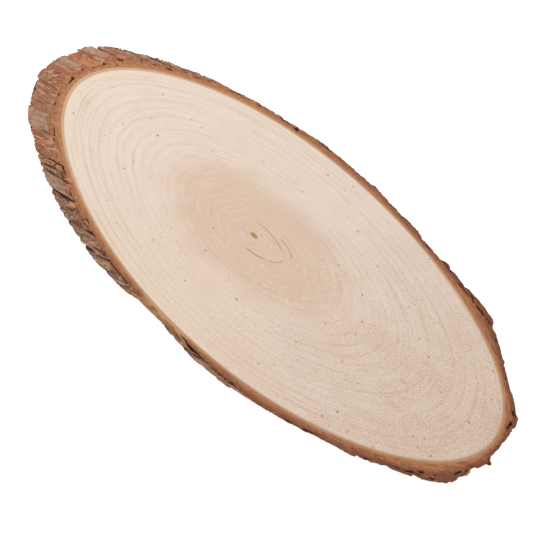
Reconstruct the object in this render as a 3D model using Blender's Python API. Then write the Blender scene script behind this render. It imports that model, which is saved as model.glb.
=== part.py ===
"""Wood slice: a round tree trunk with its bark on, sawn slantwise into one thin oval plate.

The trunk leans towards +X and both saw cuts are level, so its round section shows as a
long oval face. The bark at the -X end is a shallow slope that faces up, and the bark at
the +X end is undercut. Metres, +Z up, underside on Z = 0, origin under the middle of the
slice's box.

A place on the trunk is told by its turn about the pith, from the +X end and
anticlockwise seen from above, its distance square to the trunk, and how far it is along
the trunk.
"""
import math
import random

import bmesh
import bpy
from mathutils import Vector

MM = 0.001

# The two saw cuts and the trunk they cross.
THICKNESS = 10.0 * MM
LEAN = math.radians(65.0)
WOOD_RADIUS = 67.6 * MM

# Slow waves of the wood's outline: waves in one turn, cosine part, sine part.
# The first is the pith's offset from the middle of the trunk.
OUTLINE_WAVES = (
    (1, 7.5 * MM, -1.4 * MM),
    (2, 0.3 * MM, -0.2 * MM),
    (3, 0.0 * MM, 0.4 * MM),
    (4, 0.4 * MM, 0.3 * MM),
)

# Bark thickness round the trunk: degrees of turn, thickness.
BARK_STATIONS = (
    (-180, 2.9 * MM),
    (-160, 3.3 * MM),
    (-140, 4.2 * MM),
    (-105, 5.0 * MM),
    (-96, 4.2 * MM),
    (-90, 2.4 * MM),
    (-86, 1.7 * MM),
    (-83, 1.8 * MM),
    (-80, 4.4 * MM),
    (-66, 5.7 * MM),
    (-50, 4.8 * MM),
    (-22, 6.7 * MM),
    (-14, 5.6 * MM),
    (-10, 3.4 * MM),
    (4, 2.2 * MM),
    (20, 4.0 * MM),
    (31, 3.4 * MM),
    (49, 7.2 * MM),
    (63, 4.5 * MM),
    (95, 5.0 * MM),
    (120, 5.0 * MM),
    (150, 4.6 * MM),
    (180, 2.9 * MM),
)

# The bark's plates: long scales in columns that follow the trunk, with a groove
# between columns. Each scale stands off the trunk most at its upper end.
PLATE_COLUMNS = 40
PLATE_LENGTH = 24.0 * MM
PLATE_LENGTH_SPREAD = 0.4
SCALE_LIFT = 0.22
SCALE_SPREAD = 0.10
GROOVE_DEPTH = 0.25
GRAIN_SWAY = 1.8 * MM
GRAIN_SWAY_LENGTH = 70.0 * MM
BARK_SEED = 11

# Facets: each plate column is this many wide, and the wall this many high.
FACETS_PER_PLATE = 6
WALL_LEVELS = 5

WOOD_COLOUR = (0.80, 0.66, 0.53, 1.0)
WOOD_ROUGHNESS = 0.75


def wood_radius(turn):
    """Distance from the pith to the edge of the wood, square to the trunk."""
    radius = WOOD_RADIUS
    for waves, cosine, sine in OUTLINE_WAVES:
        radius += cosine * math.cos(waves * turn) + sine * math.sin(waves * turn)
    return radius


def bark_thickness(turn):
    """Bark thickness at a turn about the pith, eased from station to station."""
    degrees = math.degrees(math.remainder(turn, math.tau))
    for (start, before), (end, after) in zip(BARK_STATIONS, BARK_STATIONS[1:]):
        if start <= degrees <= end:
            share = (degrees - start) / (end - start)
            ease = share * share * (3.0 - 2.0 * share)
            return before + (after - before) * ease
    return BARK_STATIONS[0][1]


def grow_scales():
    """Return, for each plate column, its scales as (start, end, height) along the trunk."""
    rng = random.Random(BARK_SEED)
    reach = (WOOD_RADIUS + 2.0 * PLATE_LENGTH) * math.tan(LEAN)
    columns = []
    for _ in range(PLATE_COLUMNS):
        start = -reach - rng.uniform(0.0, PLATE_LENGTH)
        scales = []
        while start < reach:
            spread = rng.uniform(-PLATE_LENGTH_SPREAD, PLATE_LENGTH_SPREAD)
            end = start + PLATE_LENGTH * (1.0 + spread)
            scales.append((start, end, rng.uniform(-SCALE_SPREAD, SCALE_SPREAD)))
            start = end
        columns.append(scales)
    return columns


def scale_height(scales, along):
    """Height of a column's scales at a distance along the trunk, as a share of the bark."""
    for start, end, height in scales:
        if start <= along < end:
            return height + SCALE_LIFT * ((along - start) / (end - start) - 0.5)
    return 0.0


def distance_along(turn, radius, height):
    """Distance along the trunk of a place at this height above the underside."""
    return (height + radius * math.cos(turn) * math.sin(LEAN)) / math.cos(LEAN)


def on_trunk(turn, radius, height):
    """The place at a turn and a distance from the pith, at a height above the underside."""
    return Vector((
        radius * math.cos(turn) / math.cos(LEAN) + height * math.tan(LEAN),
        radius * math.sin(turn),
        height,
    ))


def bark_surface(columns, facet, height):
    """The place on the bark at one facet edge round the trunk and at one height."""
    turn = math.tau * facet / (PLATE_COLUMNS * FACETS_PER_PLATE)
    thickness = bark_thickness(turn)
    radius = wood_radius(turn) + thickness
    along = distance_along(turn, radius, height)
    if facet % FACETS_PER_PLATE == 0:
        radius -= GROOVE_DEPTH * thickness
    else:
        radius += thickness * scale_height(columns[facet // FACETS_PER_PLATE], along)
    sway = GRAIN_SWAY * math.sin(math.tau * along / GRAIN_SWAY_LENGTH)
    return on_trunk(turn + sway / radius, radius, height)


def stand_on_origin(mesh):
    """Move the mesh so that the origin is under the middle of its box."""
    across = [vert.co.x for vert in mesh.verts]
    deep = [vert.co.y for vert in mesh.verts]
    middle = Vector(((min(across) + max(across)) / 2, (min(deep) + max(deep)) / 2, 0.0))
    bmesh.ops.translate(mesh, verts=mesh.verts, vec=-middle)


def slice_mesh():
    """Shape a plain cylinder into the slice: level faces and a scaly, leaning wall."""
    facets = PLATE_COLUMNS * FACETS_PER_PLATE
    mesh = bmesh.new()
    bmesh.ops.create_cone(
        mesh, cap_ends=True, cap_tris=False, segments=facets,
        radius1=1.0, radius2=1.0, depth=THICKNESS,
    )
    uprights = [edge for edge in mesh.edges if abs(edge.verts[0].co.z - edge.verts[1].co.z) > 0.0]
    bmesh.ops.subdivide_edges(mesh, edges=uprights, cuts=WALL_LEVELS - 1, use_grid_fill=True)

    columns = grow_scales()
    for vert in mesh.verts:
        turn = math.atan2(vert.co.y, vert.co.x)
        facet = round(turn / math.tau * facets) % facets
        vert.co = bark_surface(columns, facet, vert.co.z + THICKNESS / 2)
    stand_on_origin(mesh)
    return mesh


def wood_material():
    material = bpy.data.materials.new("wood")
    material.use_nodes = True
    shader = material.node_tree.nodes["Principled BSDF"]
    shader.inputs["Base Color"].default_value = WOOD_COLOUR
    shader.inputs["Roughness"].default_value = WOOD_ROUGHNESS
    shader.inputs["Metallic"].default_value = 0.0
    material.diffuse_color = WOOD_COLOUR
    return material


def main():
    for leftover in list(bpy.data.objects):
        bpy.data.objects.remove(leftover, do_unlink=True)

    shape = slice_mesh()
    mesh = bpy.data.meshes.new("wood_slice")
    shape.to_mesh(mesh)
    shape.free()
    mesh.materials.append(wood_material())

    collection = bpy.data.collections.new("wood slice")
    bpy.context.scene.collection.children.link(collection)
    collection.objects.link(bpy.data.objects.new("wood_slice", mesh))


if __name__ == "__main__":
    main()
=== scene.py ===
"""Wood slice: an oval slice sawn slantwise from a leaning tree trunk, with its bark on.

Two pieces are made, the wood and the ring of bark round it. Both are rolled up from a flat
grid and then set in their places on the trunk, so that the growth rings, the fibres and the
cracks run through the slice as they would in a tree.

A place is told by its turn about the pith in degrees, from the +X end and anticlockwise
seen from above, its distance from the pith square to the trunk, and its height. Lengths in
the tables below are in millimetres of the slice.
"""

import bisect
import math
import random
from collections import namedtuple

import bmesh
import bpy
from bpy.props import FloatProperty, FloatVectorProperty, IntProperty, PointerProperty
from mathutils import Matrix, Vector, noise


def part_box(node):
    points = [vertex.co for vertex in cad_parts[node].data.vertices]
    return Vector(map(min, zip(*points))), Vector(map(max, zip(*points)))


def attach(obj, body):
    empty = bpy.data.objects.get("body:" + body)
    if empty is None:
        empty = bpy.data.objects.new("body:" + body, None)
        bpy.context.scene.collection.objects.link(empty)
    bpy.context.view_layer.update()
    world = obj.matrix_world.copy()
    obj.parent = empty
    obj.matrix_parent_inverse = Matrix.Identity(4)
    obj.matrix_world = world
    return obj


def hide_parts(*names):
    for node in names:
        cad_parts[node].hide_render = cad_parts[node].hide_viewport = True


bl_info = {
    "name": "Wood slice",
    "version": (1, 0, 0),
    "blender": (4, 5, 0),
    "location": "View3D > Sidebar > Wood slice",
    "description": "Makes an oval slice of a leaning trunk, with growth rings and bark",
    "category": "Add Mesh",
}

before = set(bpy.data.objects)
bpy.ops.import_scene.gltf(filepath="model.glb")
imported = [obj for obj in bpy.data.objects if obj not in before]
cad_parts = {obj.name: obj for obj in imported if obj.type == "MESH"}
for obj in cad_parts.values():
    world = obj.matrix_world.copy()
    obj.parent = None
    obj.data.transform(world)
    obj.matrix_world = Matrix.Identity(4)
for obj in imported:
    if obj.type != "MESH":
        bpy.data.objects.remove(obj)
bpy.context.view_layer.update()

LOW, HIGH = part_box("wood_slice")
THICKNESS = HIGH.z - LOW.z
MM = (HIGH.y - LOW.y) / 146.2     # one millimetre of a slice 146.2 mm across

# Slow waves of the wood's outline: waves in one turn, cosine part, sine part.
# The first is the pith's offset from the middle of the trunk.
OUTLINE_WAVES = (
    (1, 7.5, -1.4),
    (2, 0.3, -0.2),
    (3, 0.0, 0.4),
    (4, 0.4, 0.3),
)

# Bark thickness round the trunk: turn, thickness.
BARK_STATIONS = (
    (-180, 2.9), (-160, 3.3), (-140, 4.2), (-105, 5.0), (-96, 4.2), (-90, 2.4), (-86, 1.7),
    (-83, 1.8), (-80, 4.4), (-66, 5.7), (-50, 4.8), (-22, 6.7), (-14, 5.6), (-10, 3.4),
    (4, 2.2), (20, 4.0), (31, 3.4), (49, 7.2), (63, 4.5), (95, 5.0), (120, 5.0), (150, 4.6),
    (180, 2.9),
)

# Rings: distance from the pith as a share of the wood's, strength of the late wood's line.
RINGS = (
    (0.058, 0.45), (0.096, 0.3), (0.127, 0.8), (0.155, 0.8), (0.190, 0.45), (0.222, 0.6),
    (0.262, 0.4), (0.310, 0.35), (0.352, 0.7), (0.400, 0.3), (0.450, 0.4), (0.495, 0.35),
    (0.540, 0.75), (0.585, 0.45), (0.630, 0.8), (0.672, 0.45), (0.713, 0.75), (0.760, 0.4),
    (0.808, 0.9), (0.858, 0.5), (0.907, 1.0), (0.935, 0.5), (0.962, 0.45), (1.0, 0.3),
)

# Ring shakes, where the rings have come apart: middle turn, reach either way, distance from
# the pith as a share of the wood's, darkness.
SHAKES = (
    (-64.0, 22.0, 0.126, 1.0),
    (70.0, 48.0, 0.115, 0.75),
    (45.0, 22.0, 0.157, 0.65),
    (-18.0, 24.0, 0.128, 0.35),
)

# Plates of the bark on the sloping side: the turn where each starts, how far it stands out
# at its start and at its end, its tone (0 fresh orange, 1 weathered grey), how dark it is
# (darker bark and painted shade together), how stringy it is, and the depth and width of
# the crack before it.
SLOPE_PLATES = (
    (130.5, -0.7, -0.9, 0.60, 0.3, 0.9, 0.8, 0.9),
    (138.6, -0.3, -0.3, 0.50, 0.5, 0.9, 1.0, 0.9),
    (143.5, -0.4, 0.0, 0.62, 0.25, 0.9, 0.8, 0.8),
    (150.5, 0.1, -0.1, 0.34, 0.3, 0.5, 0.3, 0.6),
    (157.6, 0.3, 0.3, 0.92, 0.26, 0.2, 1.9, 1.1),
    (163.8, 0.0, -0.1, 0.35, 0.1, 0.5, 0.4, 0.6),
    (165.9, -1.0, -0.9, 0.02, 0.0, 0.1, 0.5, 0.6),
    (172.6, 0.1, 0.1, 0.88, 0.26, 0.2, 1.6, 1.0),
    (179.0, 0.1, 0.0, 0.33, 0.0, 0.1, 0.9, 0.6),
    (186.0, 0.0, 0.0, 0.36, 0.0, 0.3, 0.2, 0.8),
    (193.2, -0.1, 0.0, 0.52, 0.0, 0.35, 1.1, 0.7),
    (208.0, 0.5, 0.4, 0.95, 0.0, 0.0, 0.5, 0.6),
    (216.0, -0.2, -0.4, 0.30, 0.1, 0.6, 0.9, 0.8),
    (221.5, -0.1, -0.2, 0.50, 0.0, 0.6, 0.6, 0.7),
    (227.0, -0.4, -0.4, 0.35, 0.1, 0.9, 1.5, 1.0),
    (232.5, 0.0, -0.5, 0.82, 0.0, 0.6, 1.1, 0.9),
    (238.6, 0.3, 0.1, 0.80, 0.0, 0.9, 1.8, 1.0),
    (243.5, 0.0, -0.3, 0.62, 0.0, 0.8, 0.7, 0.7),
    (248.2, -0.2, -0.2, 0.82, 0.0, 0.8, 2.0, 1.1),
    (255.8, 0.2, 0.0, 0.85, 0.0, 0.8, 2.0, 1.2),
    (261.0, 0.0, -0.1, 0.88, 0.0, 0.8, 0.6, 0.8),
    (265.5, -0.2, -0.2, 0.22, 0.27, 0.25, 0.4, 0.7),
    (275.8, 1.2, -0.6, 0.25, 0.3, 0.5, 0.3, 0.6),
)

# The other plates, on the upright and undercut sides: where each starts, and how far it
# stands out at its start and at its end.
OTHER_PLATES = (
    (284.0, -0.5, -0.1), (291.5, 0.0, 0.0), (302.0, 0.0, -0.4), (309.5, -0.2, 0.4),
    (317.5, 0.3, -0.5), (325.0, -0.4, -0.1), (331.0, 0.4, 0.3), (339.5, 0.1, -0.7),
    (344.0, -1.0, -0.2), (351.0, 0.0, -0.2), (359.0, -0.3, -0.2), (366.0, -0.2, -0.4),
    (373.0, 0.3, 0.1), (378.5, -0.1, -0.5), (386.0, -0.7, -0.2), (393.5, 0.1, -0.6),
    (405.7, 0.6, 0.2), (415.5, -0.4, 0.0), (420.3, 0.7, 0.1), (422.3, -0.3, -0.6),
    (427.5, -0.4, 0.5), (434.0, -0.2, 0.0), (439.7, 0.5, 0.6), (443.0, -0.5, 0.0),
    (454.8, 0.8, -1.2), (466.5, -0.5, -0.4), (480.3, 0.3, -1.1),
)

# Gaps between the bark's layers on the upper cut, sunk and darkened with painted shade:
# turns from and to, depth into the bark at each, half width.
GAPS = (
    (-106.5, -96.0, 4.6, 3.9, 0.40), (-84.3, -76.0, 2.9, 4.0, 1.10),
    (-31.6, -28.0, 4.9, 4.6, 0.50), (-27.6, -25.2, 4.3, 4.1, 0.55),
    (-17.5, -13.5, 4.3, 3.2, 0.35), (11.5, 16.0, 1.7, 2.7, 0.50),
    (44.8, 50.5, 6.0, 4.9, 0.35), (47.5, 57.0, 4.9, 3.6, 0.30), (58.6, 60.2, 3.8, 4.4, 0.35),
    (64.9, 66.3, 2.6, 3.2, 0.40), (159.9, 160.9, 1.4, 1.8, 0.40),
    (164.8, 166.4, 2.6, 2.2, 0.50), (170.4, 171.6, 1.8, 2.2, 0.40),
    (104.0, 108.5, 3.2, 3.6, 0.30), (118.0, 121.0, 3.7, 4.0, 0.30),
    (-149.0, -144.0, 3.0, 3.2, 0.25), (-118.0, -112.0, 4.2, 4.3, 0.30),
    (-77.5, -68.0, 4.3, 4.9, 0.40),
)

# Crumbs that stick out: turn, height, how far, half width in degrees.
CRUMBS = (
    (-3.8, 8.4, 1.4, 1.3),
    (18.0, 8.0, 0.5, 1.5),
    (61.0, 9.0, 0.5, 1.0),
    (-15.5, 9.0, 0.4, 1.2),
)
# Patches of the bark's outside that are crumbly, that are darkened (partly darker bark,
# partly painted shade) and that have fallen off: turn, height, half width in degrees, half
# height, how much.
CRUMBLY = (
    (188.5, 4.5, 6.5, 4.6, 1.0), (228.5, 5.5, 4.5, 3.5, 1.0), (149.0, 3.0, 3.0, 3.0, 0.8),
    (262.0, 3.0, 3.0, 3.0, 0.8), (38.0, 4.0, 6.0, 4.0, 1.0), (97.0, 6.0, 5.0, 3.0, 1.0),
    (305.0, 4.0, 6.0, 4.0, 1.0),
)
DARK_AND_SHADE = (
    (141.0, 5.0, 2.2, 12.0, 0.6), (157.8, 3.0, 1.0, 6.0, 0.9), (229.5, 5.0, 1.2, 7.0, 0.5),
    (239.0, 7.0, 0.8, 5.0, 0.8), (248.3, 8.6, 1.0, 2.6, 0.9), (256.3, 7.5, 1.0, 4.0, 0.9),
    (262.0, 2.5, 1.0, 4.0, 0.4), (280.0, 6.5, 5.0, 3.5, 0.5), (194.0, 7.0, 0.7, 3.5, 0.6),
)
FALLEN = ((277.0, 1.0, 8.0, 8.5, 2.6),)
REFERENCE_RADIUS = 70.0           # turns are measured along the bark at this radius

# The scales that each plate is split into along the trunk: where the first and the last may
# end, how long they are, how far one stands above or below its neighbours, and its tilt.
SCALE_SPAN = (-260.0, 300.0)
SCALE_LENGTHS = (14.0, 34.0)
SCALE_STEP = 0.25
SCALE_TILT = 0.3

# The bark stands out a little more at +X. It is kept this thick at least, and a crack this
# deep gets the darkest painted shade.
END_SWELL = 0.35
LEAST_BARK = 0.8
DARKEST_CRACK = 1.2

# The rims of the cuts: how far the saw always chips the bark, how much further it may on
# the underside and on top, and how far in from the rim the chips reach.
RIM_CHIP = 0.15
UNDER_CHIP = 0.3
TOP_CHIP = 0.8
CHIP_WIDTH = 0.7

PITH_SHARE = 0.015                # the pith's radius as a share of the wood's
PITH_HOLLOW = 0.3                 # how far the pith is sunk below the cuts
SHARP_EDGE = math.radians(50.0)   # edges bent more than this are shaded sharp
MERGE = 1e-7                      # the grids' seams close over this distance, in metres

FLOOR_GAP = 0.0002                # the floor lies this far under the slice, in metres
FLOOR_SIZE = 6.0

# Rows of the grids. The trunk's turns are packed closer where the cut runs lengthwise.
BARK_AROUND = 1240
CUT_ROWS = 20
WALL_ROWS = 44
UNDER_ROWS = 8
LENGTHWISE_PACKING = 3.0
WOOD_AROUND = 480


def linear(red, green, blue):
    """A linear colour from the 0 to 255 values of a colour chart."""
    return tuple((value / 255.0) ** 2.2 for value in (red, green, blue))


def eased(share):
    """0 to 1, starting and ending slowly."""
    share = min(max(share, 0.0), 1.0)
    return share * share * (3.0 - 2.0 * share)


# ---------------------------------------------------------------- the trunk

class Trunk:
    """The round trunk that the slice is sawn from, in millimetres of the slice."""

    def __init__(self, settings):
        self.lean = settings.lean
        self.radius = settings.wood_radius / MM
        self.height = THICKNESS / MM
        self.pith = Vector((0.0, 0.0, 0.0))
        outline = [
            self.place(turn, self.wood(turn) + self.bark(turn), height)
            for turn in range(360) for height in (0.0, self.height)
        ]
        for axis in (0, 1):
            reach = [point[axis] for point in outline]
            middle = (LOW[axis] + HIGH[axis]) / 2 / MM
            self.pith[axis] = middle - (min(reach) + max(reach)) / 2

    def wood(self, turn):
        """Distance from the pith to the edge of the wood."""
        angle = math.radians(turn)
        return self.radius + sum(
            cosine * math.cos(waves * angle) + sine * math.sin(waves * angle)
            for waves, cosine, sine in OUTLINE_WAVES
        )

    def bark(self, turn):
        """Thickness of the bark, without its plates and cracks."""
        turn = (turn + 180.0) % 360.0 - 180.0
        after = bisect.bisect_left(BARK_STATIONS, (turn, 0.0))
        if after == 0:
            return BARK_STATIONS[0][1]
        start, before = BARK_STATIONS[after - 1]
        end, thickness = BARK_STATIONS[after]
        return before + (thickness - before) * eased((turn - start) / (end - start))

    def along(self, turn, radius, height):
        """How far along the trunk a place is."""
        sunk = radius * math.cos(math.radians(turn)) * math.sin(self.lean)
        return (height + sunk) / math.cos(self.lean)

    def place(self, turn, radius, height):
        """The place in the slice, in its millimetres."""
        angle = math.radians(turn)
        return self.pith + Vector((
            radius * math.cos(angle) / math.cos(self.lean) + height * math.tan(self.lean),
            radius * math.sin(angle),
            height,
        ))


def packed_turns(count, packing):
    """count + 1 turns from 0 to 360, packed closer where the cut runs along the slice."""
    fine = 3600
    lengths = [0.0]
    for step in range(fine):
        angle = math.tau * (step + 0.5) / fine
        stride = math.sqrt(packing * math.sin(angle) ** 2 + math.cos(angle) ** 2)
        lengths.append(lengths[-1] + stride)
    turns = []
    for index in range(count + 1):
        length = lengths[-1] * index / count
        step = min(bisect.bisect_right(lengths, length) - 1, fine - 1)
        part = (length - lengths[step]) / (lengths[step + 1] - lengths[step])
        turns.append(360.0 * (step + part) / fine)
    return turns


# ---------------------------------------------------------------- the bark's shape

def streaks(turn, along, across_size, along_size, seed):
    """Smooth noise from -1 to 1, drawn out along the trunk."""
    angle = math.radians(turn)
    spread = REFERENCE_RADIUS / across_size
    return noise.noise(Vector((
        math.cos(angle) * spread + seed,
        math.sin(angle) * spread,
        along / along_size + seed,
    )))


class Plate:
    """One column of the bark, split along its length into scales."""

    def __init__(self, start, stands, looks, rng):
        self.start = start
        self.stands = stands
        self.tone, self.dark, self.stringy, self.crack_depth, self.crack_width = looks
        self.scale_ends = []
        self.scale_stands = []
        end, last = SCALE_SPAN
        while end < last:
            end += rng.uniform(*SCALE_LENGTHS)
            self.scale_ends.append(end)
            self.scale_stands.append(rng.uniform(-SCALE_STEP, SCALE_STEP))


def grow_plates(rng):
    """The bark's plates in the order of their turns."""
    plates = []
    for start, stand, end_stand, *looks in SLOPE_PLATES:
        plates.append(Plate(start, (stand, end_stand), looks, rng))
    for start, stand, end_stand in OTHER_PLATES:
        looks = (
            rng.uniform(0.15, 0.8), rng.uniform(0.0, 0.3), rng.uniform(0.3, 1.0),
            rng.uniform(0.3, 1.9), rng.uniform(0.5, 1.0),
        )
        plates.append(Plate(start, (stand, end_stand), looks, rng))
    return plates


# What the bark is like at a place: how far it stands out, how deep in a crack 0 to 1, its
# tone, how dark it is, its fine relief -1 to 1, how stringy it is.
# The material paints shade by crack, darker bark and shade by dark, and by relief it paints shade
# in the hollows and highlights on the ridges.
Spot = namedtuple("Spot", "stand crack tone dark relief stringy")


class BarkShape:
    """The relief of the bark: plates, the cracks between them, scales, fibres and crumbs."""

    def __init__(self, rng):
        self.plates = grow_plates(rng)
        self.starts = [plate.start for plate in self.plates]

    def at(self, turn, along, height):
        """What the bark is like at a place."""
        crumbly = in_patches(CRUMBLY, turn, height)
        endways = math.cos(math.radians(turn))
        calm = 1.0 - 0.55 * endways ** 2
        smooth_end = max(0.0, endways) ** 2
        swell = END_SWELL * eased(2.0 * endways + 1.0)
        sway = 0.8 * streaks(turn, along, 18.0, 30.0, 3.1)
        sway += 0.7 * streaks(turn, along, 6.0, 9.0, 8.7)
        first = self.starts[0]
        turn = (turn + sway - first) % 360.0 + first
        index = bisect.bisect_right(self.starts, turn) - 1
        plate = self.plates[index]
        before = self.plates[index - 1]
        after = self.plates[(index + 1) % len(self.plates)]
        end = self.starts[index + 1] if index + 1 < len(self.starts) else first + 360.0
        to_mm = math.radians(1.0) * REFERENCE_RADIUS
        from_start = (turn - plate.start) * to_mm
        to_end = (end - turn) * to_mm
        width = from_start + to_end

        # plates, each eased into its neighbours, and their scales
        start_stand, end_stand = plate.stands
        stand = start_stand + (end_stand - start_stand) * from_start / width
        blend = min(0.5 + 1.5 * smooth_end, width / 2)
        if from_start < blend:
            edge = (start_stand + before.stands[1]) / 2
            stand += (edge - stand) * (1.0 - eased(from_start / blend))
        elif to_end < blend:
            edge = (end_stand + after.stands[0]) / 2
            stand += (edge - stand) * (1.0 - eased(to_end / blend))
        drift = along + 5.0 * streaks(turn, along, 4.0, 40.0, 1.7) + 0.5 * from_start
        scale = bisect.bisect_right(plate.scale_ends, drift)
        scale = min(max(scale, 1), len(plate.scale_ends) - 1)
        below = drift - plate.scale_ends[scale - 1]
        above = plate.scale_ends[scale] - drift
        tilt = SCALE_TILT * (below / (below + above) - 0.5)
        stand += plate.scale_stands[scale] + tilt + swell

        # cracks between plates and between scales
        fade = 0.55 + 0.9 * streaks(turn, along, 30.0, 16.0, 5.5)
        fade = min(max(fade, 0.12), 1.0)
        crack = 0.0
        for gap, edge in ((from_start, plate), (to_end, after)):
            depth = edge.crack_depth * fade * max(0.0, 1.0 - gap / edge.crack_width)
            crack = max(crack, depth)
        cross = 0.55 * max(0.0, 1.0 - min(below, above) / 0.7)
        cross *= max(0.0, min(1.0, 0.6 + 2.0 * streaks(turn, along, 3.0, 20.0, 9.2)))
        crack = max(crack, cross)
        stand -= 0.25 * math.exp(-min(from_start, to_end) / 0.8)

        # strings of fibre, small splits and crumbs
        stringy = plate.stringy
        fibre = streaks(turn, along, 1.6, 15.0, 12.0) + 0.4 * streaks(turn, along, 0.8, 7.0, 4.0)
        stand += (0.06 + 0.24 * stringy) * fibre * calm
        for size, seed in ((3.2, 6.3), (1.9, 16.3)):
            split = abs(streaks(turn, along, size, 6.0 * size, seed))
            split_depth = 0.9 * stringy * max(0.0, 1.0 - split / 0.16) * calm
            crack = max(crack, split_depth)
        lumps = streaks(turn, along, 1.3, 2.0, 2.2) + 0.5 * streaks(turn, along, 0.8, 1.2, 5.2)
        stand += (0.08 + 0.08 * stringy + 0.75 * crumbly) * lumps * calm - 0.12
        crack = max(crack, 1.5 * crumbly * max(0.0, -lumps - 0.12))
        tone = plate.tone + 0.5 * plate.scale_stands[scale]
        tone += (0.3 + 0.35 * stringy) * streaks(turn, along, 3.5, 9.0, 15.0)
        tone += 0.8 * crumbly * lumps
        return Spot(
            stand - crack * (1.0 - 0.85 * smooth_end),
            min(crack / DARKEST_CRACK, 1.0),
            min(max(tone, 0.0), 1.0),
            plate.dark,
            (0.25 + 0.75 * stringy) * fibre + (0.15 + crumbly) * lumps,
            stringy,
        )


def crumb_height(turn, height):
    """How far the crumbs stick out at a turn and a height."""
    most = 0.0
    for middle, level, reach, half in CRUMBS:
        across = abs((turn - middle + 180.0) % 360.0 - 180.0) / half
        up = abs(height - level) / 2.2
        most = max(most, reach * math.sqrt(max(0.0, 1.0 - across * across - up * up)))
    return most


def in_patches(patches, turn, height):
    """How far a turn and a height are inside the strongest of some patches."""
    most = 0.0
    for middle, level, half, tall, amount in patches:
        across = abs((turn - middle + 180.0) % 360.0 - 180.0) / half
        up = abs(height - level) / tall
        most = max(most, amount * (1.0 - eased(across * across + up * up)))
    return most


# ---------------------------------------------------------------- meshes

def rolled_grid(across, rows):
    """A flat grid of faces, which is rolled up once each corner's column and row are read."""
    mesh = bmesh.new()
    bmesh.ops.create_grid(mesh, x_segments=across, y_segments=rows, size=1.0)
    return mesh


def grid_index(co, across, rows):
    """Column and row of a grid vertex."""
    return round((co.x + 1.0) / 2.0 * across), round((co.y + 1.0) / 2.0 * rows)


def bark_profile():
    """Once round the bark's section: (side, share of its thickness, share of its height)."""
    rows = [("top", row / CUT_ROWS, 1.0) for row in range(CUT_ROWS)]
    rows += [("wall", 1.0, 1.0 - row / WALL_ROWS) for row in range(WALL_ROWS)]
    rows += [("under", 1.0 - row / UNDER_ROWS, 0.0) for row in range(UNDER_ROWS + 1)]
    rows.append(rows[0])
    return rows


def finish_object(mesh, name, material):
    """Turn a bmesh into a smooth-shaded piece that rides on the slice's body."""
    data = bpy.data.meshes.new(name)
    mesh.to_mesh(data)
    mesh.free()
    data.materials.append(material)
    data.shade_smooth()
    data.set_sharp_from_angle(angle=SHARP_EDGE)
    piece = bpy.data.objects.new(name, data)
    bpy.context.scene.collection.objects.link(piece)
    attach(piece, "root")
    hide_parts("wood_slice")
    return piece


def make_bark_mesh(trunk, seed):
    """The closed ring of bark, with what its material needs kept in its corners."""
    profile = bark_profile()
    rows = len(profile) - 1
    turns = packed_turns(BARK_AROUND, LENGTHWISE_PACKING)
    shape = BarkShape(random.Random(seed))
    mesh = rolled_grid(BARK_AROUND, rows)
    form = mesh.verts.layers.float_vector.new("bark_form")
    look = mesh.verts.layers.float_vector.new("bark_look")
    wall_layer = mesh.verts.layers.float.new("bark_wall")
    uv = mesh.loops.layers.uv.new("OFBake")
    lay_out_ring(mesh, uv, BARK_AROUND, rows)

    columns = []
    for turn in turns:
        turn = turn % 360.0
        wood = trunk.wood(turn)
        thickness = trunk.bark(turn)
        edges = []
        for height in (0.0, trunk.height):
            along = trunk.along(turn, wood + thickness, height)
            edges.append(shape.at(turn, along, height))
        chips = (chipping(turn, 0.0, UNDER_CHIP), chipping(turn, 7.0, TOP_CHIP))
        columns.append((turn, wood, thickness, edges, *chips))

    for vert in mesh.verts:
        column, row = grid_index(vert.co, BARK_AROUND, rows)
        turn, wood, thickness, edges, under_chip, top_chip = columns[column]
        side, layer, level = profile[row]
        if side == "wall":
            height = under_chip + level * (trunk.height - under_chip - top_chip)
            along = trunk.along(turn, wood + thickness, height)
            spot = shape.at(turn, along, height)
            # the weathered plates end a little below the cut, some with a dark edge of painted
            # shade
            reach = max(0.7, 1.6 + 3.0 * streaks(turn, 0.0, 5.0, 9.0, 31.0))
            bare = (trunk.height - height - top_chip) / reach
            tone = spot.tone * (0.2 + 0.8 * eased(2.0 * bare - 1.0))
            # dark plates and patches go into the crack mask: partly darker bark, partly painted
            # shade
            dark = max(spot.dark, in_patches(DARK_AND_SHADE, turn, height))
            dark *= 0.75 + 0.9 * streaks(turn, along, 1.6, 14.0, 3.3)
            edge = 3.0 * spot.stringy * streaks(turn, 0.0, 4.0, 9.0, 21.0)
            edge *= max(0.0, 1.0 - abs(bare - 0.75) / 0.3)
            crack = max(spot.crack, dark, min(edge, 1.0))
            sunk = 0.0
        else:
            height = level * trunk.height
            spot = edges[1 if side == "top" else 0]
            crack, tone = spot.crack, spot.tone
        stand = spot.stand - in_patches(FALLEN, turn, height)
        stand = max(stand, LEAST_BARK - thickness) + crumb_height(turn, height)
        depth = (thickness + stand) * layer
        rim = thickness + stand - depth
        if side != "wall":
            near_rim = max(0.0, 1.0 - rim / CHIP_WIDTH)
            sunk, gap = cut_dent(turn, depth, thickness + stand, side)
            crack = max(crack * near_rim, gap)
            chip = top_chip if side == "top" else under_chip
            sunk = max(sunk, chip * near_rim)
            if side == "top":
                sunk = -sunk
        vert.co = trunk.place(turn, wood + depth, height)
        vert.co.z += sunk
        vert[form] = Vector((depth, rim, tone))
        vert[look] = Vector((crack, spot.relief, spot.stringy))
        vert[wall_layer] = 1.0 if side == "wall" else 0.0
        vert.co *= MM
    bmesh.ops.remove_doubles(mesh, verts=mesh.verts, dist=MERGE)
    bmesh.ops.recalc_face_normals(mesh, faces=mesh.faces)
    return mesh


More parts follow.
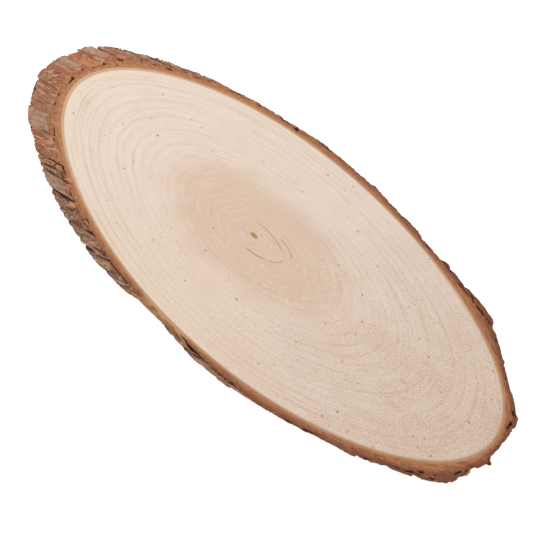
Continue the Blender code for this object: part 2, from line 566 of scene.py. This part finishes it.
def chipping(turn, seed, most):
    """How far from the cut the saw has chipped the bark's rim."""
    angle = math.radians(turn)
    coarse = noise.noise(Vector((math.cos(angle) * 16.0, math.sin(angle) * 16.0, seed)))
    fine = noise.noise(Vector((math.cos(angle) * 60.0, math.sin(angle) * 60.0, seed)))
    return RIM_CHIP + most * max(0.0, coarse + 0.5 * fine)


def cut_dent(turn, depth, thickness, side):
    """How far the sawn bark is sunk below the cut, and how much shade is painted in its gap."""
    angle = math.radians(turn)
    share = depth / thickness
    layered = noise.noise(Vector((
        math.cos(angle) * 24.0, math.sin(angle) * 24.0, depth / 0.8 + len(side),
    )))
    gap = max(0.0, layered - 0.3 + 0.08 * share) / 0.25 * eased((share - 0.45) / 0.35)
    gap = 0.75 * min(gap, 1.0)
    if side == "top":
        for start, end, start_depth, end_depth, half in GAPS:
            part = ((turn - start + 180.0) % 360.0 - 180.0) / (end - start)
            if not 0.0 < part < 1.0:
                continue
            taper = min(1.0, 4.0 * part, 4.0 - 4.0 * part)
            middle = start_depth + (end_depth - start_depth) * part
            away = abs(depth - middle) / (half * (0.3 + 0.7 * taper))
            gap = max(gap, (1.0 - eased(away)) * (0.4 + 0.6 * taper))
    return 0.05 + 1.8 * gap * gap, gap


def lay_out_ring(mesh, uv, across, rows, strips=5):
    """Lay the ring out flat in strips, one under another."""
    for face in mesh.faces:
        middle = face.calc_center_median()
        strip = min(int((middle.x + 1.0) / 2.0 * strips), strips - 1)
        for loop in face.loops:
            co = loop.vert.co
            along = (co.x + 1.0) / 2.0 * strips - strip
            up = (co.y + 1.0) / 2.0
            loop[uv].uv = (0.004 + 0.992 * along, (strip + 0.02 + 0.96 * up) / strips)


def wood_profile():
    """From the middle of the underside out, and back over the top to the middle again.

    Each row is (distance from the pith as a share of the wood's, years, strength of the
    ring's line, share of the height).
    """
    half = [(share, share / RINGS[0][0], 0.0) for share in (0.0, 0.006, 0.012, 0.018, 0.026)]
    before = half[-1]
    for year, (share, strength) in enumerate(RINGS, 1):
        half.append((
            (before[0] + share) / 2, (before[1] + year) / 2, (before[2] + strength) / 2,
        ))
        before = (share, year, strength)
        half.append(before)
    return [(*row, 0.0) for row in half] + [(*row, 1.0) for row in reversed(half)]


def make_wood_mesh(trunk):
    """The closed disc of wood, with its rings kept in its corners."""
    profile = wood_profile()
    rows = len(profile) - 1
    mesh = rolled_grid(WOOD_AROUND, rows)
    growth_layer = mesh.verts.layers.float.new("growth")
    year_layer = mesh.verts.layers.float.new("year")
    ring_layer = mesh.verts.layers.float.new("ring")
    row_layer = mesh.verts.layers.int.new("row")
    turns = packed_turns(WOOD_AROUND, LENGTHWISE_PACKING)
    for vert in mesh.verts:
        column, row = grid_index(vert.co, WOOD_AROUND, rows)
        turn = turns[column] % 360.0
        share, year, ring, level = profile[row]
        vert.co = trunk.place(turn, trunk.wood(turn) * share, level * trunk.height)
        if share < PITH_SHARE:
            vert.co.z += PITH_HOLLOW if level == 0.0 else -PITH_HOLLOW
        vert.co *= MM
        vert[growth_layer] = share
        vert[year_layer] = year
        vert[ring_layer] = ring
        vert[row_layer] = row
    uv = mesh.loops.layers.uv.new("OFBake")
    lay_out_disc(mesh, uv, row_layer, len(profile) // 2)
    mesh.verts.layers.int.remove(row_layer)
    bmesh.ops.remove_doubles(mesh, verts=mesh.verts, dist=MERGE)
    bmesh.ops.recalc_face_normals(mesh, faces=mesh.faces)
    return mesh


def lay_out_disc(mesh, uv, row_layer, half):
    """Lay the underside over the top face, with the hidden edge in a strip above them."""
    long = HIGH.x - LOW.x
    deep = HIGH.y - LOW.y
    for face in mesh.faces:
        low = min(loop.vert[row_layer] for loop in face.loops)
        for loop in face.loops:
            co = loop.vert.co
            across = 0.01 + 0.98 * (co.x - LOW.x) / long
            up = 0.98 * (co.y - LOW.y) / long
            if low < half - 1:
                loop[uv].uv = (across, 0.01 + up)
            elif low == half - 1:
                loop[uv].uv = (across, 0.97 + 0.02 * co.z / THICKNESS)
            else:
                loop[uv].uv = (across, 0.05 + deep / long + up)


# ---------------------------------------------------------------- materials

class Value:
    """A node's output, for use in sums."""

    def __init__(self, recipe, socket):
        self.recipe = recipe
        self.socket = socket

    def math(self, operation, first, second):
        settings = {"operation": operation}
        return self.recipe.node("ShaderNodeMath", settings, {0: first, 1: second})

    def __add__(self, other):
        return self.math("ADD", self, other)

    def __radd__(self, other):
        return self.math("ADD", other, self)

    def __sub__(self, other):
        return self.math("SUBTRACT", self, other)

    def __rsub__(self, other):
        return self.math("SUBTRACT", other, self)

    def __mul__(self, other):
        return self.math("MULTIPLY", self, other)

    def __rmul__(self, other):
        return self.math("MULTIPLY", other, self)

    def __truediv__(self, other):
        return self.math("DIVIDE", self, other)


class Recipe:
    """The nodes of one material."""

    def __init__(self, name, roughness):
        self.material = bpy.data.materials.new(name)
        self.material.use_nodes = True
        self.tree = self.material.node_tree
        self.shader = self.tree.nodes["Principled BSDF"]
        self.shader.inputs["Roughness"].default_value = roughness
        self.shader.inputs["Specular IOR Level"].default_value = 0.25

    def node(self, kind, settings=None, inputs=None, output=0):
        """Add a node: its own settings first, then a value or a link for each socket."""
        made = self.tree.nodes.new(kind)
        for name, value in (settings or {}).items():
            setattr(made, name, value)
        for name, value in (inputs or {}).items():
            self.put(value, made.inputs[name])
        return Value(self, made.outputs[output])

    def put(self, value, socket):
        """Link a node's output to a socket, or set the socket to a plain value."""
        if isinstance(value, Value):
            self.tree.links.new(value.socket, socket)
        elif hasattr(value, "__len__") and len(value) == 3 and socket.type == "RGBA":
            socket.default_value = (*value, 1.0)
        else:
            socket.default_value = value

    def feed(self, name, value):
        """Feed one of the shader's own sockets."""
        self.put(value, self.shader.inputs[name])

    def attribute(self, name, output="Fac"):
        return self.node("ShaderNodeAttribute", {"attribute_name": name}, None, output)

    def parts(self, vector):
        """The three numbers of a vector."""
        return [
            self.node("ShaderNodeSeparateXYZ", None, {0: vector}, axis) for axis in range(3)
        ]

    def vector(self, x, y, z):
        return self.node("ShaderNodeCombineXYZ", None, {0: x, 1: y, 2: z})

    def mix(self, factor, first, second):
        """Mix two colours."""
        settings = {"data_type": "RGBA", "blend_type": "MIX"}
        return self.node("ShaderNodeMix", settings, {0: factor, 6: first, 7: second}, 2)

    def noise(self, vector, scale, detail=2.0, roughness=0.5):
        """Noise from 0 to 1."""
        inputs = {"Vector": vector, "Scale": scale, "Detail": detail, "Roughness": roughness}
        return self.node("ShaderNodeTexNoise", None, inputs)

    def between(self, value, low, high):
        """0 below low, 1 above high and eased between them; low may be the higher."""
        settings = {"interpolation_type": "SMOOTHSTEP", "clamp": True}
        inputs = {"Value": value, "From Min": low, "From Max": high}
        return self.node("ShaderNodeMapRange", settings, inputs)

    def size(self, value):
        """A number without its sign."""
        return self.node("ShaderNodeMath", {"operation": "ABSOLUTE"}, {0: value})

    def most(self, first, second):
        return self.node("ShaderNodeMath", {"operation": "MAXIMUM"}, {0: first, 1: second})

    def bump(self, height, strength, distance):
        inputs = {"Height": height, "Strength": strength, "Distance": distance}
        return self.node("ShaderNodeBump", None, inputs)

    def trunk_place(self, trunk):
        """Coordinates with the pith on the Z axis and the fibres along it, in millimetres."""
        origin = trunk.pith
        lean = trunk.lean
        shift = (
            -origin.x * math.cos(lean),
            -origin.y,
            -origin.x * math.sin(lean),
        )
        inputs = {
            "Vector": self.node("ShaderNodeTexCoord", None, None, "Object"),
            "Scale": (1.0 / MM,) * 3,
            "Rotation": (0.0, -lean, 0.0),
            "Location": shift,
        }
        return self.node("ShaderNodeMapping", {"vector_type": "POINT"}, inputs)


def wood_material(trunk, settings):
    """Pale sapwood with a darker heart, growth rings, pith flecks and fine pores."""
    recipe = Recipe("pale wood", settings.wood_roughness)
    place = recipe.trunk_place(trunk)
    across, deep, along = recipe.parts(place)
    radius = recipe.node("ShaderNodeMath", {"operation": "SQRT"}, {
        0: across * across + deep * deep + 0.01,
    })
    facing_x, facing_y = across / radius, deep / radius
    growth = recipe.attribute("growth")
    year = recipe.attribute("year")

    # the late wood's lines wander a little, and come and go on their way round
    wander = recipe.noise(recipe.vector(facing_x * 1.2, facing_y * 1.2, growth * 3.0), 1.0, 2.0)
    wiggle = recipe.noise(recipe.vector(facing_x * 7.0, facing_y * 7.0, growth * 5.0), 1.0, 2.0)
    year = year + (wander - 0.5) * 0.7 + (wiggle - 0.5) * 0.45
    phase = recipe.node("ShaderNodeMath", {"operation": "FRACT"}, {0: year + 0.5}) - 0.5
    line = recipe.between(recipe.size(phase), 0.17, 0.01)
    late = recipe.between(phase, -0.5, 0.0) * recipe.between(phase, 0.06, 0.0)
    fade = recipe.noise(recipe.vector(facing_x * 2.2, facing_y * 2.2, growth * 9.0), 1.0, 2.0)
    ring = recipe.attribute("ring") * (recipe.between(fade, 0.3, 0.62) * 0.75 + 0.25)
    ring = ring * (1.0 - facing_y * facing_y * 0.4)
    fine = recipe.noise(
        recipe.vector(facing_x * 2.0, facing_y * 2.0, (growth + wander * 0.02) * 75.0),
        1.0, 3.0, 0.6)
    side = recipe.between(across, 5.0, 85.0)
    speckle = recipe.noise(recipe.vector(across, deep, along * 0.4), 2.1, 3.0, 0.8)
    rough = side * 0.75 + recipe.between(across - deep * 0.4, -25.0, 15.0) * 0.35 + 0.4
    layered = recipe.between(growth, 0.75, 0.95) * 0.15 + 0.3
    dark = ring * (line * 0.34 + late * 0.08) + recipe.between(fine, 0.5, 0.8) * layered
    dark = dark + recipe.between(speckle, 0.5, 0.72) * rough
    pale = recipe.between(fine, 0.48, 0.2) * 0.4 + recipe.between(speckle, 0.5, 0.3) * rough

    # the heart, the sapwood darker towards +X, and pinkish stains that are stronger there
    edge = recipe.noise(place, 0.05, 2.0)
    reach = radius + 3.0 - facing_x - facing_y * facing_y * 4.0
    heart = recipe.between(reach + (edge - 0.5) * 16.0, 36.0, 21.0)
    stain = recipe.noise(recipe.vector(across, deep, along * 0.1), 0.045, 4.0, 0.6)
    colour = recipe.mix(side, settings.sapwood, settings.darker_sapwood)
    colour = recipe.mix(
        recipe.between(stain, 0.46, 0.7) * (side * 0.55 + 0.15), colour, settings.stain)
    patchy = recipe.noise(recipe.vector(across, deep, along * 0.2), 0.16, 3.0, 0.6)
    colour = recipe.mix(
        recipe.between(patchy, 0.5, 0.7) * (side * 0.35 + 0.12), colour, settings.stain)
    warm = recipe.between(facing_y, -0.75, -0.98) * 0.1
    colour = recipe.mix(warm, colour, settings.warm_wood)
    colour = recipe.mix(heart, colour, settings.heartwood)
    colour = recipe.mix(dark, colour, settings.late_wood)
    colour = recipe.mix(pale, colour, settings.early_wood)

    # flecks, ring shakes, pith and the rim under the bark
    bend = recipe.noise(recipe.vector(across, deep, along * 0.25), 0.8, 1.0)
    spots = recipe.vector(across + bend * 2.0, deep - bend * 1.5, along * 0.6)
    for scale, amount in ((0.10, 0.9), (0.17, 0.7), (0.3, 0.5)):
        inputs = {"Vector": spots, "Scale": scale}
        near = recipe.node("ShaderNodeTexVoronoi", None, inputs, "Distance")
        pick = recipe.parts(recipe.node("ShaderNodeTexVoronoi", None, inputs, "Color"))
        wide = (pick[1] * 0.55 + 0.35) * scale
        spot = recipe.between(near, wide, wide * 0.4)
        spot = spot * recipe.between(pick[0] + side * 0.22, 0.68, 0.98)
        colour = recipe.mix(spot * amount, colour, settings.fleck)
    shaken = 0.0
    for turn, reach, share, darkness in SHAKES:
        turn, reach = math.radians(turn), math.radians(reach)
        lined_up = facing_x * math.cos(turn) + facing_y * math.sin(turn)
        arc = recipe.between(lined_up, math.cos(reach), math.cos(reach * 0.6))
        gap = recipe.size(growth + (wander - 0.5) * 0.02 - share)
        shake = arc * recipe.between(gap, 0.0045, 0.0010) * darkness * 0.85
        shaken = recipe.most(shaken, shake)
    colour = recipe.mix(shaken, colour, settings.fleck)
    colour = recipe.mix(recipe.between(radius, 1.5, 0.9), colour, settings.pith)
    rim = recipe.between(growth, 0.990, 0.998) * (0.8 - side * 0.45)
    colour = recipe.mix(rim, colour, settings.cambium)
    recipe.feed("Base Color", colour)

    pores = recipe.noise(recipe.vector(across, deep, along * 0.2), 2.2, 3.0, 0.6)
    height = pores * 0.5 - line * ring * 0.2 - shaken
    recipe.feed("Normal", recipe.bump(height, 0.15, 0.2 * MM))
    return recipe.material


def bark_material(trunk, settings):
    """Sawn inner bark on the cut faces and weathered plates on the outside, with painted shade
    in the cracks and hollows and painted highlights on the ridges.
    """
    recipe = Recipe("tree bark", settings.bark_roughness)
    place = recipe.trunk_place(trunk)
    across, deep, along = recipe.parts(place)
    depth, rim, tone = recipe.parts(recipe.attribute("bark_form", "Vector"))
    crack, relief, stringy = recipe.parts(recipe.attribute("bark_look", "Vector"))
    wall = recipe.attribute("bark_wall")

    # the sawn faces: two pale lines next to the wood, then orange, then dark and layered
    share = depth / (depth + rim + 0.01)
    old = recipe.between(across - deep * 0.1, -51.0, 34.0) * 0.75 + 0.25
    layers = recipe.noise(recipe.vector(across * 0.16, deep * 0.16, depth * 2.2), 1.0, 3.0, 0.6)
    grain = recipe.noise(recipe.vector(across * 0.4, deep * 0.4, depth * 3.6), 1.0, 4.0, 0.7)
    mottle = recipe.noise(recipe.vector(across, deep, along * 0.5), 0.6, 4.0, 0.75)
    outer = recipe.between(share + (layers - 0.5) * 0.9, 0.2, 0.8) * old
    sawn = recipe.mix(outer, settings.inner_bark, settings.outer_bark)
    sawn = recipe.mix(
        recipe.between(mottle, 0.5, 0.66) * (share * 0.4 + 0.25), sawn, settings.outer_bark)
    sawn = recipe.mix(
        recipe.between(layers, 0.5, 0.66) * (old * 0.7 - 0.15), sawn, settings.outer_bark)
    sawn = recipe.mix(
        recipe.between(grain, 0.52, 0.72) * (old * 0.4 + 0.12), sawn, settings.dark_bark_and_shade)
    sawn = recipe.mix(recipe.between(rim, 0.7, 0.0) * 0.4, sawn, settings.outer_bark)
    bright = 0.75 - old * 0.55
    sawn = recipe.mix(recipe.between(grain, 0.46, 0.26) * bright, sawn, settings.pale_bark_and_highlight)
    sawn = recipe.mix(recipe.between(mottle, 0.47, 0.32) * bright, sawn, settings.pale_bark_and_highlight)
    thin = recipe.between(depth + rim, 4.2, 2.2) * recipe.between(deep, -50.0, -70.0)
    sawn = recipe.mix(thin * 0.95, sawn, settings.cambium)
    line = (depth + (layers - 0.5) * 0.3) * (old * 1.2 + 0.7)
    sawn = recipe.mix(recipe.between(line, 2.4, 0.8) * old * 0.4, sawn, settings.pale_bark_and_highlight)
    sawn = recipe.mix(
        recipe.between(line, 0.95, 0.4) * (1.1 - old * 0.4), sawn, settings.cambium)
    sawn = recipe.mix(
        recipe.between(recipe.size(line - 0.3), 0.16, 0.06) * (0.7 - old * 0.6),
        sawn, settings.sapwood)

    # the outside: orange where a plate broke off, brown, and grey where it has weathered
    strings = recipe.noise(recipe.vector(across, deep, along * 0.12), 1.0, 4.0, 0.65)
    shade = tone + (strings - 0.5) * (stringy * 0.5 + 0.15)
    outside = recipe.mix(recipe.between(shade, 0.0, 0.28), settings.fresh_bark, settings.red_bark)
    outside = recipe.mix(recipe.between(shade, 0.3, 0.6), outside, settings.brown_bark)
    outside = recipe.mix(recipe.between(shade, 0.6, 0.9), outside, settings.grey_bark)
    streaked = stringy * 0.35 + 0.15
    outside = recipe.mix(
        recipe.between(mottle, 0.46, 0.64) * 0.6, outside, settings.outer_bark)
    outside = recipe.mix(recipe.between(mottle, 0.46, 0.3) * 0.3, outside, settings.pale_bark_and_highlight)
    threads = recipe.noise(recipe.vector(across, deep, along * 0.1), 1.5, 3.0, 0.7)
    outside = recipe.mix(
        recipe.between(threads, 0.5, 0.64) * streaked, outside, settings.dark_bark_and_shade)
    outside = recipe.mix(
        recipe.between(threads, 0.47, 0.33) * streaked, outside, settings.pale_bark_and_highlight)
    # painted shade in the low relief and painted highlights on the high relief
    outside = recipe.mix(recipe.between(relief, -0.1, -0.45) * 0.4, outside, settings.dark_bark_and_shade)
    outside = recipe.mix(recipe.between(relief, 0.06, 0.36) * 0.5, outside, settings.pale_bark_and_highlight)

    colour = recipe.mix(wall, sawn, outside)
    # painted shade in the cracks, in the gaps between the bark's layers and in dark patches
    colour = recipe.mix(recipe.between(crack, 0.22, 0.66) * 0.95, colour, settings.dark_bark_and_shade)
    recipe.feed("Base Color", colour)

    fine = recipe.noise(recipe.vector(across, deep, along * 0.3), 3.0, 3.0, 0.7)
    recipe.feed("Normal", recipe.bump(fine - threads * 0.5, 0.5, 0.35 * MM))
    return recipe.material


# ---------------------------------------------------------------- settings

def colour_property(name, description, red, green, blue):
    """A colour setting, with its default as 0 to 255 values."""
    return FloatVectorProperty(
        name=name, description=description, subtype="COLOR", size=3, min=0.0, max=1.0,
        default=linear(red, green, blue),
    )


class WoodSliceSettings(bpy.types.PropertyGroup):
    lean: FloatProperty(
        name="Lean", description="The trunk's lean from upright, towards +X",
        default=math.radians(65.0), min=0.0, max=math.radians(75.0), subtype="ANGLE")
    wood_radius: FloatProperty(
        name="Wood radius", description="Mean radius of the wood, square to the trunk",
        default=67.6 * MM, min=0.01, unit="LENGTH")
    bark_seed: IntProperty(
        name="Bark seed", description="Picks another bark", default=4, min=0)
    wood_roughness: FloatProperty(
        name="Wood roughness", description="Roughness of the sanded wood",
        default=0.62, min=0.0, max=1.0, subtype="FACTOR")
    bark_roughness: FloatProperty(
        name="Bark roughness", description="Roughness of the bark",
        default=0.85, min=0.0, max=1.0, subtype="FACTOR")
    sapwood: colour_property("Sapwood", "Most of the sawn face", 228, 210, 194)
    darker_sapwood: colour_property("Darker sapwood", "Sapwood at +X", 214, 193, 174)
    stain: colour_property("Stain", "Pinkish patches in the sapwood", 208, 179, 156)
    heartwood: colour_property("Heartwood", "Darker zone round the pith", 217, 190, 167)
    warm_wood: colour_property("Warm wood", "Yellow tint at -Y", 228, 184, 125)
    late_wood: colour_property("Late wood", "Dark lines of the rings", 196, 150, 120)
    early_wood: colour_property("Early wood", "Pale bands of the rings", 228, 212, 198)
    fleck: colour_property("Flecks", "Small brown flecks in the wood", 144, 94, 60)
    pith: colour_property("Pith", "Middle of the trunk", 180, 132, 84)
    cambium: colour_property("Cambium", "Yellow line between wood and bark", 190, 148, 102)
    fresh_bark: colour_property("Fresh bark", "Where a plate broke off", 182, 120, 80)
    inner_bark: colour_property("Inner bark", "Sawn inner bark", 178, 118, 80)
    outer_bark: colour_property("Outer bark", "Sawn outer bark", 124, 76, 56)
    red_bark: colour_property("Red bark", "Bark's newer outside", 154, 98, 72)
    brown_bark: colour_property("Brown bark", "Bark's outside", 150, 108, 79)
    grey_bark: colour_property("Grey bark", "Weathered plates", 164, 131, 107)
    # pale threads on the bark, and painted highlights on its ridges
    pale_bark_and_highlight: colour_property("Pale bark", "Dry threads on the bark", 202, 164, 136)
    # dark bark in the grain and threads, and painted shade in the cracks, gaps and hollows
    dark_bark_and_shade: colour_property("Cracks", "Inside the cracks", 56, 36, 28)


# ---------------------------------------------------------------- operators

class WOODSLICE_OT_wood(bpy.types.Operator):
    """Make the wood, from the pith out to the bark"""
    bl_idname = "woodslice.wood"
    bl_label = "Wood"

    def execute(self, context):
        settings = context.scene.wood_slice
        trunk = Trunk(settings)
        finish_object(make_wood_mesh(trunk), "wood", wood_material(trunk, settings))
        return {"FINISHED"}


class WOODSLICE_OT_bark(bpy.types.Operator):
    """Make the ring of bark, with its plates and cracks"""
    bl_idname = "woodslice.bark"
    bl_label = "Bark"

    def execute(self, context):
        settings = context.scene.wood_slice
        trunk = Trunk(settings)
        mesh = make_bark_mesh(trunk, settings.bark_seed)
        finish_object(mesh, "bark", bark_material(trunk, settings))
        return {"FINISHED"}


class WOODSLICE_OT_stage(bpy.types.Operator):
    """Make the floor, the lights and the camera"""
    bl_idname = "woodslice.stage"
    bl_label = "Stage"

    def execute(self, context):
        scene = context.scene
        scene.view_settings.view_transform = "Standard"
        make_floor(scene)
        make_lights(scene)
        make_camera(scene)
        return {"FINISHED"}


def make_floor(scene):
    """A plain white table that glows a little, so that hardly any shadow shows on it."""
    mesh = bmesh.new()
    bmesh.ops.create_grid(mesh, x_segments=1, y_segments=1, size=FLOOR_SIZE)
    bmesh.ops.translate(mesh, verts=mesh.verts, vec=(0.0, 0.0, LOW.z - FLOOR_GAP))
    data = bpy.data.meshes.new("floor")
    mesh.to_mesh(data)
    mesh.free()
    recipe = Recipe("white table", 0.9)
    recipe.feed("Base Color", (0.45, 0.45, 0.45))
    recipe.feed("Emission Color", (1.0, 1.0, 1.0))
    recipe.feed("Emission Strength", 0.85)
    data.materials.append(recipe.material)
    floor = bpy.data.objects.new("floor", data)
    scene.collection.objects.link(floor)


def make_lights(scene):
    """Even light from all round and one large soft lamp."""
    world = bpy.data.worlds.new("studio")
    world.use_nodes = True
    background = world.node_tree.nodes["Background"]
    background.inputs["Color"].default_value = (1.0, 1.0, 1.0, 1.0)
    background.inputs["Strength"].default_value = 0.7
    scene.world = world

    lamp = bpy.data.lights.new("key", "AREA")
    lamp.shape = "DISK"
    lamp.size = 0.9
    lamp.energy = 7.0
    key = bpy.data.objects.new("key", lamp)
    key.location = (-0.8, 0.1, 0.9)
    key.rotation_mode = "QUATERNION"
    key.rotation_quaternion = (-key.location).to_track_quat("-Z", "Y")
    scene.collection.objects.link(key)


def make_camera(scene):
    """A long lens above the slice, looking down across its length."""
    azimuth = math.radians(47.3)
    elevation = math.radians(58.0)
    distance = 1.5
    target = Vector((12.39 * MM, -7.1 * MM, THICKNESS))
    back = Vector((
        math.sin(azimuth) * math.cos(elevation),
        -math.cos(azimuth) * math.cos(elevation),
        math.sin(elevation),
    ))
    data = bpy.data.cameras.new("camera")
    data.sensor_width = 36.0
    data.lens = 185.6
    camera = bpy.data.objects.new("camera", data)
    camera.location = target + back * distance
    camera.rotation_mode = "QUATERNION"
    camera.rotation_quaternion = (-back).to_track_quat("-Z", "Y")
    scene.collection.objects.link(camera)
    scene.camera = camera


class WOODSLICE_PT_panel(bpy.types.Panel):
    """Wood slice"""
    bl_idname = "WOODSLICE_PT_panel"
    bl_label = "Wood slice"
    bl_space_type = "VIEW_3D"
    bl_region_type = "UI"
    bl_category = "Wood slice"

    def draw(self, context):
        settings = context.scene.wood_slice
        for name in settings.__annotations__:
            self.layout.prop(settings, name)
        for operator in OPERATORS:
            self.layout.operator(operator.bl_idname)


OPERATORS = (WOODSLICE_OT_wood, WOODSLICE_OT_bark, WOODSLICE_OT_stage)
CLASSES = (WoodSliceSettings, *OPERATORS, WOODSLICE_PT_panel)


def register():
    for entry in CLASSES:
        bpy.utils.register_class(entry)
    bpy.types.Scene.wood_slice = PointerProperty(type=WoodSliceSettings)


def unregister():
    del bpy.types.Scene.wood_slice
    for entry in reversed(CLASSES):
        bpy.utils.unregister_class(entry)


def main():
    register()
    bpy.ops.woodslice.stage()
    bpy.ops.woodslice.wood()
    bpy.ops.woodslice.bark()


if __name__ == "__main__":
    main()
